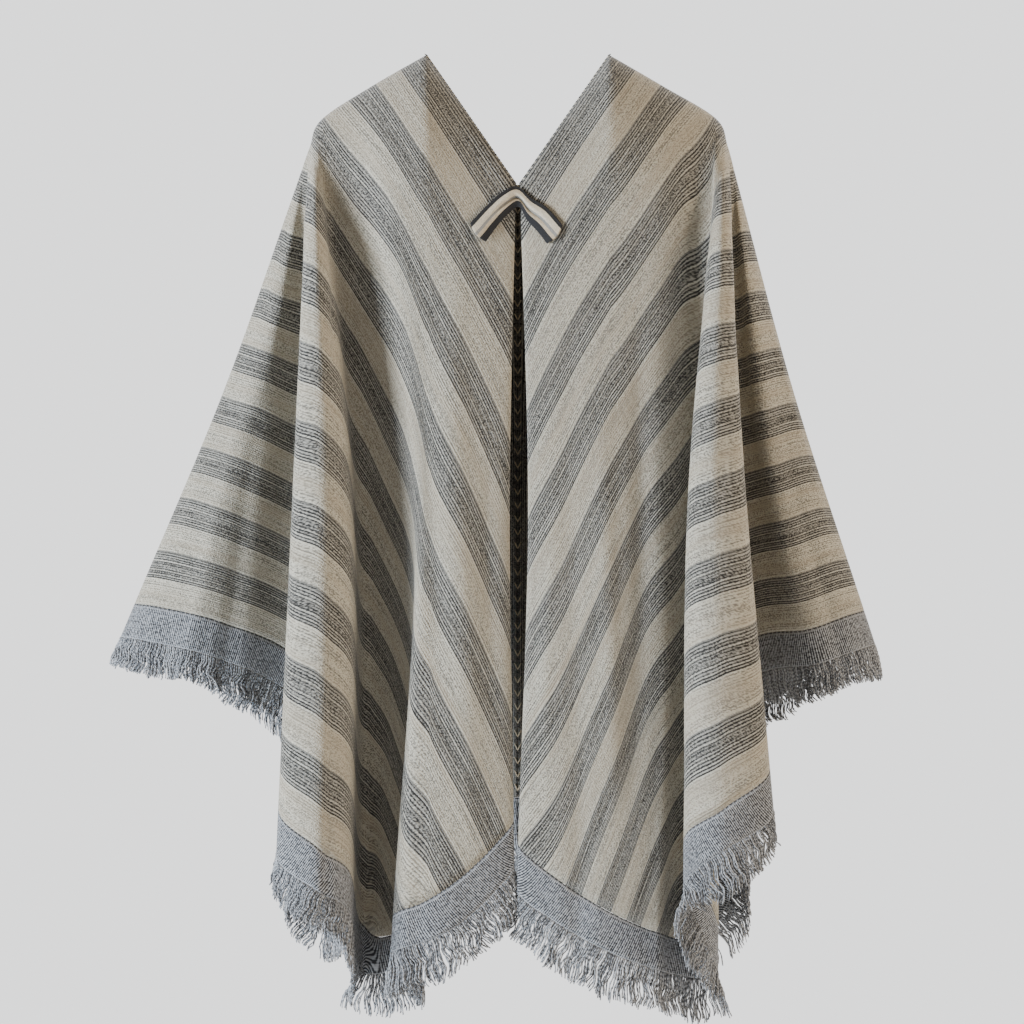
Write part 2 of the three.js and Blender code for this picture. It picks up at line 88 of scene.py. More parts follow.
# One row for each fold, from the turned-in front edge round the arm to the centre back.
# The last four columns count the stripes from the selvedge, a quarter, half and three
# quarters of the way down and at the hem.
foldColumns = ["name", "top", "tuck", "midOut", "midFwd", "lowOut", "lowFwd", "lowZ",
               "quarterStripe", "midStripe", "lateStripe", "lowStripe"]
foldRows = {
    "right": [
        ("turned-in edge", -172, 13, 50, 104, 70, 114, -776, 2.0, 3.6, 5.5, 7.4),
        ("turned-in flap", -182, 9, 24, 100, 24, 106, -782, 2.5, 4.6, 6.8, 9.1),
        ("front edge", -186, 0, 10, 112, 6, 118, -790, 2.65, 4.87, 7.25, 9.6),
        ("inner front", -93, 0, 50, 122, 50, 130, -838, 3.3, 6.13, 9.0, 11.9),
        ("neck point", 0, 0, 90, 122, 92, 131, -868, 3.9, 7.08, 10.3, 13.5),
        ("front plane edge", 62, 0, 103, 112, 127, 114, -884, 5.5, 8.3, 11.35, 14.8),
        ("inner pleat", 84, 0, 113, 88, 100, 88, -892, 6.25, 9.4, 13.4, 18.4),
        ("corner", 100, 0, 128, 70, 140, 64, -908, 6.85, 10.45, 16.0, 22),
        ("recess", 116, 0, 150, 62, 158, 52, -897, 7.6, 11.5, 16.7, 22),
        ("roll foot", 128, 0, 166, 70, 166, 66, -884, 8.1, 12.05, 16.9, 22),
        ("roll inner edge", 137, 0, 175, 112, 174, 122, -838, 8.6, 13.0, 17.5, 22),
        ("roll crest", 146, 0, 201, 138, 206, 152, -813, 9.1, 13.55, 17.87, 22),
        ("roll outer edge", 156, 0, 228, 112, 243, 116, -768, 9.25, 13.55, 17.8, 22),
        ("outer pleat", 165, 0, 160, 32, 150, 24, -692, 9.4, 14.0, 17.9, 22),
        ("sleeve fold", 174, 0, 224, 14, 232, 10, -617, 9.4, 13.35, 17.55, 22),
        ("sleeve", 182, 0, 262, 40, 306, 42, -584, 9.5, 13.5, 17.7, 22),
        ("sleeve outer", 186, 0, 289, 27, 369, 30, -569, 9.7, 13.6, 17.9, 22),
        ("arm line", 192, 0, 303, 0, 395, 0, -566, 9.85, 13.8, 18.0, 22),
        ("back sleeve outer", 186, 0, 289, -28, 369, -31, -569, 9.7, 13.6, 17.9, 22),
        ("back sleeve", 182, 0, 262, -42, 306, -40, -586, 9.5, 13.5, 17.7, 22),
        ("back sleeve fold", 174, 0, 196, -58, 186, -58, -668, 9.5, 13.5, 17.7, 22),
        ("back outer flank", 165, 0, 218, -92, 230, -94, -742, 9.3, 13.5, 17.7, 22),
        ("back outer roll", 156, 0, 212, -132, 226, -152, -808, 9.1, 13.3, 17.6, 22),
        ("back corner", 146, 0, 194, -138, 201, -162, -856, 8.7, 13.0, 17.4, 22),
        ("back roll flank", 137, 0, 180, -114, 183, -116, -850, 7.8, 11.6, 15.2, 18.9),
        ("back outer valley", 128, 0, 168, -88, 172, -66, -844, 6.9, 10.0, 12.8, 15.6),
        ("back valley", 116, 0, 150, -88, 154, -64, -838, 6.3, 9.2, 11.8, 14.4),
        ("back inner flank", 100, 0, 140, -118, 144, -122, -830, 5.2, 7.4, 9.1, 10.9),
        ("back roll", 84, 0, 124, -146, 126, -172, -820, 4.2, 5.7, 6.95, 8.2),
        ("back roll inner", 62, 0, 102, -138, 100, -156, -808, 3.4, 4.8, 5.8, 6.8),
        ("back neck point", 0, 0, 76, -110, 74, -104, -792, 1.8, 3.2, 3.6, 4.0),
        ("inner back", -93, 0, 40, -128, 40, -138, -777, 0.9, 1.6, 1.75, 1.9),
        ("centre back", -186, 0, 0, -114, 0, -116, -768, 0, 0, 0, 0),
    ],
    "left": [
        ("turned-in edge", -172, 13, 54, 104, 74, 114, -798, 2.2, 4.6, 7.0, 9.7),
        ("turned-in flap", -182, 9, 26, 100, 20, 106, -804, 2.7, 5.6, 8.4, 11.5),
        ("front edge", -186, 0, 12, 112, 2, 118, -814, 2.9, 5.97, 8.9, 12.0),
        ("inner front", -93, 0, 48, 122, 45, 130, -850, 3.6, 6.95, 10.33, 13.8),
        ("neck point", 0, 0, 95, 122, 92, 132, -879, 4.2, 8.36, 12.4, 16.8),
        ("front plane", 58, 0, 137, 116, 133, 124, -898, 5.95, 10.35, 15.0, 19.5),
        ("front plane outer", 84, 0, 166, 102, 162, 104, -908, 7.0, 11.4, 16.3, 21.5),
        ("corner", 100, 0, 189, 86, 193, 84, -912, 7.4, 12.5, 17.3, 22),
        ("inner pleat", 116, 0, 206, 92, 205, 92, -897, 7.8, 13.2, 17.8, 22),
        ("roll foot", 128, 0, 190, 112, 190, 116, -856, 8.2, 13.6, 17.9, 22),
        ("roll inner edge", 137, 0, 176, 130, 171, 136, -804, 9.15, 13.7, 18.1, 22),
        ("roll crest", 146, 0, 202, 148, 212, 156, -773, 9.4, 13.8, 18.1, 22),
        ("roll outer edge", 156, 0, 229, 120, 256, 122, -728, 9.4, 13.75, 17.8, 22),
        ("outer pleat", 165, 0, 168, 36, 160, 28, -664, 9.6, 13.9, 17.9, 22),
        ("sleeve fold", 174, 0, 228, 14, 240, 10, -602, 9.4, 13.4, 17.6, 22),
        ("sleeve", 182, 0, 252, 40, 298, 42, -592, 9.7, 13.6, 17.8, 22),
        ("sleeve outer", 186, 0, 273, 27, 339, 30, -578, 9.75, 13.65, 17.85, 22),
        ("arm line", 192, 0, 285, 0, 357, 0, -573, 9.85, 13.7, 17.8, 22),
        ("back sleeve outer", 186, 0, 273, -28, 339, -31, -578, 9.75, 13.65, 17.85, 22),
        ("back sleeve", 182, 0, 252, -42, 296, -40, -594, 9.7, 13.6, 17.8, 22),
        ("back sleeve fold", 174, 0, 198, -58, 188, -58, -668, 9.5, 13.5, 17.7, 22),
        ("back outer flank", 165, 0, 220, -92, 232, -94, -742, 9.3, 13.5, 17.7, 22),
        ("back outer roll", 156, 0, 214, -132, 228, -152, -808, 9.1, 13.3, 17.6, 22),
        ("back corner", 146, 0, 196, -138, 203, -162, -856, 8.7, 13.0, 17.4, 22),
        ("back roll flank", 137, 0, 182, -114, 185, -116, -850, 7.8, 11.6, 15.2, 18.9),
        ("back outer valley", 128, 0, 170, -88, 174, -66, -844, 6.9, 10.0, 12.8, 15.6),
        ("back valley", 116, 0, 152, -88, 156, -64, -838, 6.3, 9.2, 11.8, 14.4),
        ("back inner flank", 100, 0, 142, -118, 146, -122, -830, 5.2, 7.4, 9.1, 10.9),
        ("back roll", 84, 0, 126, -146, 128, -172, -820, 4.2, 5.7, 6.95, 8.2),
        ("back roll inner", 58, 0, 104, -138, 102, -156, -808, 3.4, 4.8, 5.8, 6.8),
        ("back neck point", 0, 0, 78, -110, 76, -104, -792, 1.8, 3.2, 3.6, 4.0),
        ("inner back", -93, 0, 40, -128, 40, -138, -777, 0.9, 1.6, 1.75, 1.9),
        ("centre back", -186, 0, 0, -114, 0, -116, -768, 0, 0, 0, 0),
    ],
}
folds = {
    side: {column: np.array([row[i] for row in rows], float if i else object)
           for i, column in enumerate(foldColumns)}
    for side, rows in foldRows.items()
}
sides = {"right": -1, "left": 1}  # the wearer's left is +X

# Soft creases: from and to in rows round the ring and shares of the way down,
# the width from side to side, and the height, which is below 0 for a trough.
creasing = {"bow": 0.16, "bowTurn": 5, "nearRows": 1.3, "steepness": 1.4, "calmTop": 0.05, "calmRows": 1.05}
creaseColumns = ["fromRow", "fromDown", "toRow", "toDown", "width", "height"]
creaseRows = {
    "right": [
        (3.3, 0.18, 3.1, 0.96, 34, 4.5),
        (4.1, 0.30, 3.9, 0.78, 26, -4.0),
        (4.6, 0.45, 4.5, 1.00, 22, 3.5),
        (2.6, 0.42, 2.5, 0.80, 14, -2.2),
        (9.6, 0.06, 10.4, 0.34, 16, -3.0),
        (11.4, 0.08, 11.0, 0.62, 18, 3.0),
        (10.6, 0.55, 10.7, 1.00, 14, -2.6),
        (14.8, 0.34, 14.9, 1.00, 24, -5.0),
        (15.5, 0.50, 15.4, 1.00, 20, 4.0),
        (16.3, 0.22, 16.2, 0.70, 14, -2.5),
        (18.6, 0.30, 18.8, 1.00, 22, 4.0),
        (19.5, 0.45, 19.4, 0.95, 18, -3.5),
        (22.4, 0.20, 22.6, 0.85, 20, 3.5),
        (28.4, 0.25, 28.2, 0.90, 22, 3.5),
        (29.6, 0.12, 29.8, 0.66, 20, -4.0),
        (30.5, 0.40, 30.6, 1.00, 26, 4.5),
        (31.4, 0.10, 31.3, 0.52, 18, -3.0),
    ],
    "left": [
        (3.2, 0.22, 3.3, 1.00, 30, 4.0),
        (3.9, 0.40, 4.0, 0.92, 24, -4.2),
        (4.7, 0.24, 4.6, 0.88, 26, 4.0),
        (5.5, 0.52, 5.4, 1.00, 20, -3.4),
        (2.7, 0.55, 2.6, 0.90, 14, -2.0),
        (9.7, 0.08, 10.5, 0.30, 16, -3.0),
        (11.5, 0.10, 11.2, 0.55, 18, 3.0),
        (10.5, 0.48, 10.6, 0.94, 14, -2.6),
        (14.7, 0.30, 14.8, 0.96, 24, -4.6),
        (15.6, 0.55, 15.5, 1.00, 18, 3.6),
        (16.4, 0.30, 16.3, 0.82, 14, -2.4),
        (18.5, 0.35, 18.7, 1.00, 20, 3.6),
        (19.4, 0.28, 19.5, 0.86, 18, -3.2),
        (22.5, 0.30, 22.4, 0.95, 20, 3.8),
        (28.3, 0.18, 28.4, 0.76, 22, 3.2),
        (29.5, 0.30, 29.6, 0.92, 20, -4.2),
        (30.4, 0.22, 30.5, 0.80, 24, 4.0),
        (31.5, 0.35, 31.4, 0.90, 18, -3.2),
    ],
}


def smooth(knots, at):
    # a smooth value between evenly spaced knots, through each of them
    knots = np.asarray(knots, float)
    last = len(knots) - 1
    i = np.clip(np.floor(at).astype(int), 0, last - 1)
    f = (at - i).reshape(at.shape + (1,) * (knots.ndim - 1))
    b = knots[i]
    c = knots[i + 1]
    a = np.where((i > 0).reshape(f.shape), knots[np.maximum(i - 1, 0)], 2 * b - c)
    d = np.where((i + 2 <= last).reshape(f.shape), knots[np.minimum(i + 2, last)], 2 * c - b)
    f2 = f * f
    f3 = f2 * f
    level = b * (2 * f3 - 3 * f2 + 1) + c * (3 * f2 - 2 * f3)
    return level + (c - a) / 2 * (f3 - 2 * f2 + f) + (d - b) / 2 * (f3 - f2)


def evened(values, reach):
    # the mean of each value and its neighbours, as many on either side as reach says
    kernel = np.ones(2 * reach + 1) / (2 * reach + 1)
    return np.convolve(np.pad(values, reach, mode="edge"), kernel, mode="valid")


def rowNumber(side, name):
    return list(folds[side]["name"]).index(name)


def lastRow(side):
    return len(folds[side]["name"]) - 1


def topLine(side, at):
    # the upper edge: the shoulder ridge, or the neck edge in front or behind
    top = smooth(folds[side]["top"], at)
    tuck = smooth(folds[side]["tuck"], at)
    facing = np.where(at <= rowNumber(side, "arm line"), 1.0, -1.0)
    along, out, height = np.array(ridge[side], float).T
    place = np.interp(top, along, np.arange(len(along)))
    down = np.clip(-top / form["neckSlit"], 0, 1)
    onRidge = top >= 0
    foot = np.where(facing > 0, form["neckFootGap"], 0)
    return {
        "top": top,
        "tuck": tuck,
        "facing": facing,
        "out": np.where(onRidge, smooth(out, place), out[0] * (1 - down) + foot * down),
        "fwd": np.where(onRidge, 0, facing * (form["neckReach"] * np.sin(down * math.pi / 2) - tuck)),
        "z": np.where(onRidge, smooth(height, place), -form["neckDepth"] * down),
    }


def plainCloth(side, at, t):
    # the cloth's middle surface without its creases: one row of points for each t
    rows = {column: smooth(folds[side][column], at) for column in foldColumns[1:]}
    line = topLine(side, at)
    z = line["z"] + (rows["lowZ"] - line["z"]) * t[:, None]
    out = smooth([line["out"], rows["midOut"], rows["lowOut"]], 2 * t)
    turned = np.clip((rows["top"] - form["shoulderTurn"]) / (form["armStart"] - form["shoulderTurn"]), 0, 1)
    reach = form["bodyReach"] * np.sqrt(1 - turned ** 2)
    opened = np.where(t < 0.5, np.sqrt(2 * t), 2 * t)
    nearTop = line["facing"] * (reach - rows["tuck"])
    body = smooth([nearTop, rows["midFwd"], rows["lowFwd"]], opened)
    fallen = np.minimum(1, (line["z"] - z) / form["shoulderFall"])
    rounded = np.sqrt(1 - (1 - fallen) ** 2)
    fwd = line["fwd"] + (body - line["fwd"]) * rounded
    points = np.stack([sides[side] * out, -fwd, z], -1)
    centre = at >= lastRow(side)
    points[:, centre, 0] = sides[side] * form["seamGap"] / 2
    return points


def outward(side, points):
    # the cloth's outward normal at each point of a grid
    across = np.gradient(points, axis=1)
    down = np.gradient(points, axis=0)
    normal = np.cross(across, down) * -sides[side]
    length = np.linalg.norm(normal, axis=-1, keepdims=True)
    return normal / np.maximum(length, 1e-9)


def creased(side, at, t, points):
    # the same grid of points with the creases laid in
    lift = np.zeros(points.shape[:2])
    for row in creaseRows[side]:
        crease = dict(zip(creaseColumns, row))
        ends = plainCloth(side, np.array([crease["fromRow"], crease["toRow"]]),
                          np.array([crease["fromDown"], crease["toDown"]]))
        start = ends[0, 0]
        end = ends[1, 1]
        way = end - start
        share = np.clip(((points - start) @ way) / (way @ way), 0, 1)
        # the crease bows a little on its way, and fades towards both ends
        bow = creasing["bow"] * crease["width"] * np.sin(share * creasing["bowTurn"] + crease["fromRow"])
        nearest = start + share[..., None] * way
        nearest[..., 0] += bow
        far = np.linalg.norm(points - nearest, axis=-1) / (crease["width"] / 2)
        rowMiddle = crease["fromRow"] + (crease["toRow"] - crease["fromRow"]) * share
        near = np.exp(-((at - rowMiddle) / creasing["nearRows"]) ** 4)
        fade = np.sin(math.pi * np.clip(share, 0.02, 0.98)) ** 0.7
        if crease["toDown"] >= 0.999:
            fade = np.sin(math.pi / 2 * np.clip(share, 0.02, 1)) ** 0.8
        lift += crease["height"] * near * fade * np.exp(-(far ** 2) * creasing["steepness"])
    lift *= np.clip(t / creasing["calmTop"], 0, 1)[:, None] ** 2
    lift[:, at >= lastRow(side) + 1 - creasing["calmRows"]] = 0
    return points + outward(side, points) * lift[..., None]


def unitRows(vectors):
    return vectors / np.maximum(np.linalg.norm(vectors, axis=-1, keepdims=True), 1e-9)


def toMode(mode):
    bpy.ops.object.mode_set(mode=mode)


def clearSelection():
    bpy.ops.object.select_all(action="DESELECT")


def chooseOnly(piece):
    clearSelection()
    piece.select_set(True)
    bpy.context.view_layer.objects.active = piece


def loopPoints(mesh):
    # the point that each corner of each face stands on
    points = np.zeros(len(mesh.loops), int)
    mesh.loops.foreach_get("vertex_index", points)
    return points


def layCloth(name, points, flat, thickness):
    # a grid is laid over the points and given its thickness, and flat is its place on the cut
    rows, columns = points.shape[:2]
    clearSelection()
    bpy.ops.mesh.primitive_grid_add(x_subdivisions=columns - 1, y_subdivisions=rows - 1, size=2)
    piece = bpy.context.object
    piece.name = name
    mesh = piece.data
    plain = np.zeros(len(mesh.vertices) * 3)
    mesh.vertices.foreach_get("co", plain)
    plain = plain.reshape(-1, 3)
    column = np.rint((plain[:, 0] + 1) / 2 * (columns - 1)).astype(int)
    row = np.rint((plain[:, 1] + 1) / 2 * (rows - 1)).astype(int)
    mesh.vertices.foreach_set("co", (points[row, column] * mm).ravel())
    mesh.uv_layers.active.data.foreach_set("uv", flat[row, column][loopPoints(mesh)].ravel())
    mesh.update()
    solid = piece.modifiers.new("Thickness", "SOLIDIFY")
    solid.thickness = thickness * mm
    solid.offset = 0
    chooseOnly(piece)
    bpy.ops.object.modifier_apply(modifier=solid.name)
    bpy.ops.object.shade_smooth()
    return piece


# Panels
def stepsRound(side):
    at = np.linspace(0, lastRow(side), lastRow(side) * cloth["stepsPerRow"] + 1)
    return at if side == "right" else at[::-1]  # so that the faces point outwards


def runOf(line):
    # the length along a line of points, from its first point
    return np.concatenate([[0], np.cumsum(np.linalg.norm(np.diff(line, axis=0), axis=1))])


def brokenSmooth(side, column, at):
    # smooth but for two sharp turns, where the neck edge meets the ridge
    values = folds[side][column]
    front = rowNumber(side, "neck point")
    back = rowNumber(side, "back neck point")
    middle = smooth(values[front:back + 1], at - front)
    before = smooth(values[:front + 1], at)
    after = smooth(values[back:], at - back)
    return np.where(at < front, before, np.where(at > back, after, middle))


def flatPlace(side, at, t):
    # stripes across and millimetres along, both scaled into the unit square
    rows = {"top": smooth(folds[side]["top"], at)}
    for column in ["quarterStripe", "midStripe", "lateStripe", "lowStripe"]:
        rows[column] = brokenSmooth(side, column, at)
    top = np.maximum(0, rows["top"]) / cloth["stripeWidth"]
    stripe = smooth([top, rows["quarterStripe"], rows["midStripe"], rows["lateStripe"],
                     rows["lowStripe"]], 4 * t)
    stripe = np.clip(stripe, 0, cloth["stripes"])
    ring = np.arange(lastRow(side) + 1.0)
    hem = plainCloth(side, ring, np.array([1.0]))[0]
    path = runOf(hem)
    corner = rowNumber(side, "corner")
    arm = rowNumber(side, "arm line")
    backCorner = rowNumber(side, "back corner")
    knots = [path[0], path[corner], path[arm], path[backCorner], path[-1]]
    long = cloth["halfLength"]
    lowAlong = np.interp(smooth(path, at), knots, [long, long, 0, -long, -long])
    facing = np.where(at <= arm, 1.0, -1.0)
    topAlong = facing * np.maximum(0, -rows["top"])
    along = topAlong + (lowAlong - topAlong) * t[:, None]
    return np.stack([stripe / cloth["mapStripes"], 0.5 + along / cloth["mapLength"]], -1)


panels = {}
hems = {}
for side in sides:
    at = stepsRound(side)
    t = np.linspace(0, 1, cloth["stepsDown"] + 1) ** cloth["crowding"]
    points = creased(side, at, t, plainCloth(side, at, t))
    panels[side] = layCloth("panel_cloth_" + side, points, flatPlace(side, at, t), cloth["thickness"])
    # what goes on past the hem follows the last stretch of each fold
    chordStart = np.array([np.interp(1 - form["hemChord"], t, points[:, i, k])
                           for i in range(len(at)) for k in range(3)]).reshape(-1, 3)
    hem = points[-1]
    way = unitRows(hem - chordStart)
    along = unitRows(np.gradient(hem, axis=0))
    slant = np.linalg.norm(np.cross(way, along), axis=-1)
    slant = evened(slant, 4)
    hems[side] = {
        "at": at,
        "p": hem,
        "way": way,
        "along": along,
        "n": outward(side, points)[-1],
        "gap": form["seamGap"] / np.maximum(form["leastGapSlant"], slant),
        "stretch": 1 / np.maximum(form["leastSlant"], slant),
    }
print("panels laid")


# Bands
band = {"thickness": 2, "stepsAcross": 8, "sideInset": 0.5, "otherInset": 0.6, "cornerFrom": 20}
places = {
    "front": ("turned-in edge", "corner"),
    "side": ("corner", "back corner"),
    "back": ("back corner", "centre back"),
}


def hemPart(side, place):
    first, last = [rowNumber(side, name) for name in places[place]]
    hem = hems[side]
    nearly = 1e-6
    keep = (hem["at"] >= first - nearly) & (hem["at"] <= last + nearly)
    part = {key: value[keep].copy() for key, value in hem.items()}
    inset = form["cornerGap"] * band["sideInset" if place == "side" else "otherInset"]
    for end, inner in ((0, 1), (-1, -2)):
        atCorner = abs(part["p"][end][0]) > band["cornerFrom"]
        if atCorner:
            part["p"][end] += unitRows(part["p"][inner] - part["p"][end]) * inset
    return part


def past(part, reach):
    # the hem's points carried on past it, a row for each reach
    reach = np.atleast_1d(np.asarray(reach, float))
    far = part["gap"] + reach[:, None] * part["stretch"]
    return part["p"] + part["way"] * far[..., None]


def atSpots(spot, run, values):
    # values between the points of a line, at the lengths along it that spot names
    return np.stack([np.interp(spot, run, values[:, k]) for k in range(3)], -1)


def wayAlong(spot, run, line):
    return unitRows(atSpots(spot, run, unitRows(np.gradient(line, axis=0))))


def squareTo(part):
    # the way along the sewn edge, evened out a little, and the way square to it in the cloth
    along = unitRows(np.stack([evened(column, 3) for column in part["along"].T], -1))
    square = part["way"] - along * np.sum(part["way"] * along, axis=-1, keepdims=True)
    return along, unitRows(square)


bands = {}
for side in sides:
    for place in places:
        part = hemPart(side, place)
        reach = np.linspace(0, form["bandWidth"], band["stepsAcross"] + 1)
        points = past(part, reach)
        run = runOf(points[0])
        # the ribs stand square on the sewn edge, also where the fold's own line is slanted
        aslant = np.sum((points - points[0]) * squareTo(part)[0], axis=-1)
        across = np.broadcast_to((reach / form["bandWidth"])[:, None], aslant.shape)
        flat = np.stack([(run + aslant) / cloth["mapLength"], across], -1)
        name = place + "_band_cloth_" + side
        bands[side, place] = layCloth(name, points, flat, band["thickness"])
print("bands laid")


# Yarns
def yarnModel(ringSides, cuts):
    # a straight yarn, one unit long and one in radius, from which strands or stitches are bent
    clearSelection()
    bpy.ops.mesh.primitive_cylinder_add(vertices=ringSides, radius=1, depth=1, location=(0, 0, 0.5))
    piece = bpy.context.object
    bpy.ops.object.transform_apply(location=True, rotation=False, scale=False)
    toMode("EDIT")
    bpy.ops.mesh.select_mode(type="EDGE")
    bpy.ops.mesh.select_all(action="DESELECT")
    toMode("OBJECT")
    for edge in piece.data.edges:
        a, b = [piece.data.vertices[i].co for i in edge.vertices]
        edge.select = abs(a.z - b.z) > 0.5
    toMode("EDIT")
    bpy.ops.mesh.subdivide(number_cuts=cuts)
    toMode("OBJECT")
    model = {
        "points": np.array([v.co[:] for v in piece.data.vertices]),
        "faces": [tuple(face.vertices) for face in piece.data.polygons],
    }
    bpy.data.objects.remove(piece)
    return model


def bendYarns(name, model, positions, uv):
    # for each yarn the places of the model's points, and their places on the map
    count, each = positions.shape[:2]
    shift = np.arange(count) * each
    faces = [tuple(i + s for i in face) for s in shift for face in model["faces"]]
    mesh = bpy.data.meshes.new(name)
    mesh.from_pydata((positions.reshape(-1, 3) * mm).tolist(), [], faces)
    layer = mesh.uv_layers.new(name="UVMap")
    layer.data.foreach_set("uv", uv.reshape(-1, 2)[loopPoints(mesh)].ravel())
    piece = bpy.data.objects.new(name, mesh)
    bpy.context.collection.objects.link(piece)
    chooseOnly(piece)
    toMode("EDIT")
    bpy.ops.mesh.select_all(action="SELECT")
    bpy.ops.mesh.normals_make_consistent(inside=False)
    toMode("OBJECT")
    bpy.ops.object.shade_smooth()
    return piece


# Fringe
fringe = {
    "pitch": 1.1,
    "thick": 0.98,
    "length": {"front": 43, "side": 41, "back": 43},
    "sleeveLength": 33,
    "sleeveFrom": [215, 250],
    "lengthSpread": 0.10,
    "lockWidth": 22,
    "lockSpread": 0.5,
    "gather": 0.12,
    "lean": 5.5,
    "curl": 2.3,
    "curlsEach": 1.35,
    "ripple": 0.4,
    "ripplesEach": 3.4,
    "square": 0.95,
    "hang": 0.40,
    "start": -0.6,
    "taper": 0.22,
    "layer": 0.75,
    "strayShare": 0.05,
    "straySpread": 6,
}
# what wanders along the edge: millimetres between turns, lowest and highest value
drifts = {
    "lean": (24, -fringe["lean"], fringe["lean"]),
    "lift": (20, -2, 4.5),
    "length": (16, 0.88, 1.12),
    "curl": (26, 0, 2 * math.pi),
    "bend": (18, 0.4, 1.3),
}
strandYarn = yarnModel(3, 12)


def drifting(chance, spot, what):
    every, low, high = drifts[what]
    knots = np.arange(0, spot[-1] + 2 * every, every)
    return np.interp(spot, knots, chance.uniform(low, high, len(knots)))


def makeFringe(side, place, seed):
    chance = np.random.default_rng(seed)
    part = hemPart(side, place)
    inner = form["bandWidth"] + form["seamGap"]
    edge = past(part, inner + fringe["start"])[0]
    run = runOf(edge)
    count = int(run[-1] / fringe["pitch"])
    spot = (np.arange(count) + 0.5) / count * run[-1] + chance.normal(0, 0.3, count)
    spot = np.sort(np.clip(spot, 0.7, run[-1] - 0.7))
    root = atSpots(spot, run, edge)
    way = unitRows(atSpots(spot, run, part["way"]))
    square = unitRows(atSpots(spot, run, squareTo(part)[1]))
    along = wayAlong(spot, run, edge)
    out = unitRows(atSpots(spot, run, part["n"]))
    start = unitRows(square * fringe["square"] + way * (1 - fringe["square"]))
    # neighbouring yarns lean and curl alike, and gather a little into locks
    widths = fringe["lockWidth"] * (1 + fringe["lockSpread"] * chance.uniform(-1, 1, count))
    ends = np.cumsum(widths)
    lock = np.searchsorted(ends, spot)
    middle = ends[lock] - widths[lock] / 2
    lockLean, lockLift, lockLength, lockCurl, lockBend = [drifting(chance, spot, what) for what in drifts]
    gather = np.clip(chance.normal(fringe["gather"], 0.12, count), 0, 0.9)
    usual = fringe["length"][place]
    if place == "side":
        usual = np.interp(np.abs(root[:, 0]), fringe["sleeveFrom"], [usual, fringe["sleeveLength"]])
    length = usual * lockLength * (1 + fringe["lengthSpread"] * chance.uniform(-1, 0.7, count))
    strays = chance.uniform(0, 1, count) < fringe["strayShare"]
    stray = strays * chance.normal(0, fringe["straySpread"], count)
    lean = (middle - spot) * gather + lockLean + stray
    lift = lockLift + chance.normal(0, 1.0, count)
    own = chance.uniform(0, 2 * math.pi, (count, 4))
    s = strandYarn["points"][:, 2][None, :]
    bow = s ** 1.6
    curlTurn = 2 * math.pi * fringe["curlsEach"] * s + (lockCurl + chance.normal(0, 0.25, count))[:, None]
    curl = (fringe["curl"] * lockBend)[:, None] * np.minimum(1, s * 2.2) * np.sin(curlTurn)
    ripple = fringe["ripple"] * np.minimum(1, s * 3)
    rippleTurn = 2 * math.pi * fringe["ripplesEach"] * s
    sideways = lean[:, None] * bow + curl + ripple * np.sin(rippleTurn + own[:, :1])
    outwards = lift[:, None] * bow * (1 - 0.35 * s) + ripple * np.sin(rippleTurn * 0.8 + own[:, 1:2])
    thick = fringe["thick"] * (1 - fringe["taper"] * s ** 3) * (1 + 0.12 * np.sin(own[:, 2:3] + 9 * s))
    ringX = strandYarn["points"][:, 0][None, :]
    ringY = strandYarn["points"][:, 1][None, :]
    twist = 7 * s + own[:, 3:4]
    a = (ringX * np.cos(twist) - ringY * np.sin(twist)) * thick
    b = (ringX * np.sin(twist) + ringY * np.cos(twist)) * thick
    layer = np.where(np.arange(count) % 2, fringe["layer"], -fringe["layer"])[:, None]
    depth = layer + chance.uniform(-0.3, 0.3, (count, 1))
    # a yarn leaves the band square to its edge and falls more and more
    fallen = fringe["hang"] * s ** 2 * (1 - 0.25 * s)
    straight = s - fallen
    positions = (
        root[:, None]
        + start[:, None] * (length[:, None] * straight)[..., None]
        + np.array([0, 0, -1]) * (length[:, None] * fallen)[..., None]
        + along[:, None] * (sideways + a)[..., None]
        + out[:, None] * (outwards + depth + b)[..., None]
    )
    hue = chance.uniform(0.02, 0.98, count)[:, None]
    uv = np.stack(np.broadcast_arrays(hue, s * 0.96 + 0.02), -1)
    return bendYarns(place + "_fringe_yarns_" + side, strandYarn, positions, uv)


fringes = {}
for i, side in enumerate(sides):
    for k, place in enumerate(places):
        fringes[side, place] = makeFringe(side, place, 40 + 10 * i + k)
print("fringe made")


# Stitches
stitch = {
    "neckPitch": 3.4,
    "neckThick": 0.85,
    "neckOver": 1.5,
    "neckDeep": 3.6,
    "neckSlant": 1.5,
    "neckProud": 2.0,
    "backPitch": 14,
    "backThick": 0.75,
    "backHalf": 3.4,
    "backFirst": 6,
    "legFall": 7.0,
    "legStart": -5.5,
    "barHalf": 1.1,
    "barDown": 4.6,
    "barSlant": 0.5,
    "hueStep": 0.381966,
}
stitchYarn = yarnModel(5, 6)


def bendStitches(name, centres, frames, thick):
    # centres: stitches, points along, 3. frames: the two directions across each stitch.
    s = stitchYarn["points"][:, 2]
    steps = centres.shape[1] - 1
    place = s * steps
    i = np.clip(np.floor(place).astype(int), 0, steps - 1)
    f = (place - i)[None, :, None]
    middle = centres[:, i] * (1 - f) + centres[:, i + 1] * f
    girth = thick * (1 - 0.55 * np.abs(2 * s - 1) ** 4)
    a = frames[0][:, None] * (stitchYarn["points"][:, 0] * girth)[None, :, None]
    b = frames[1][:, None] * (stitchYarn["points"][:, 1] * girth)[None, :, None]
    count = len(centres)
    hue = (np.arange(count) * stitch["hueStep"] % 1)[:, None]
    uv = np.stack(np.broadcast_arrays(hue, s[None, :]), -1)
    return bendYarns(name, stitchYarn, middle + a + b, uv)


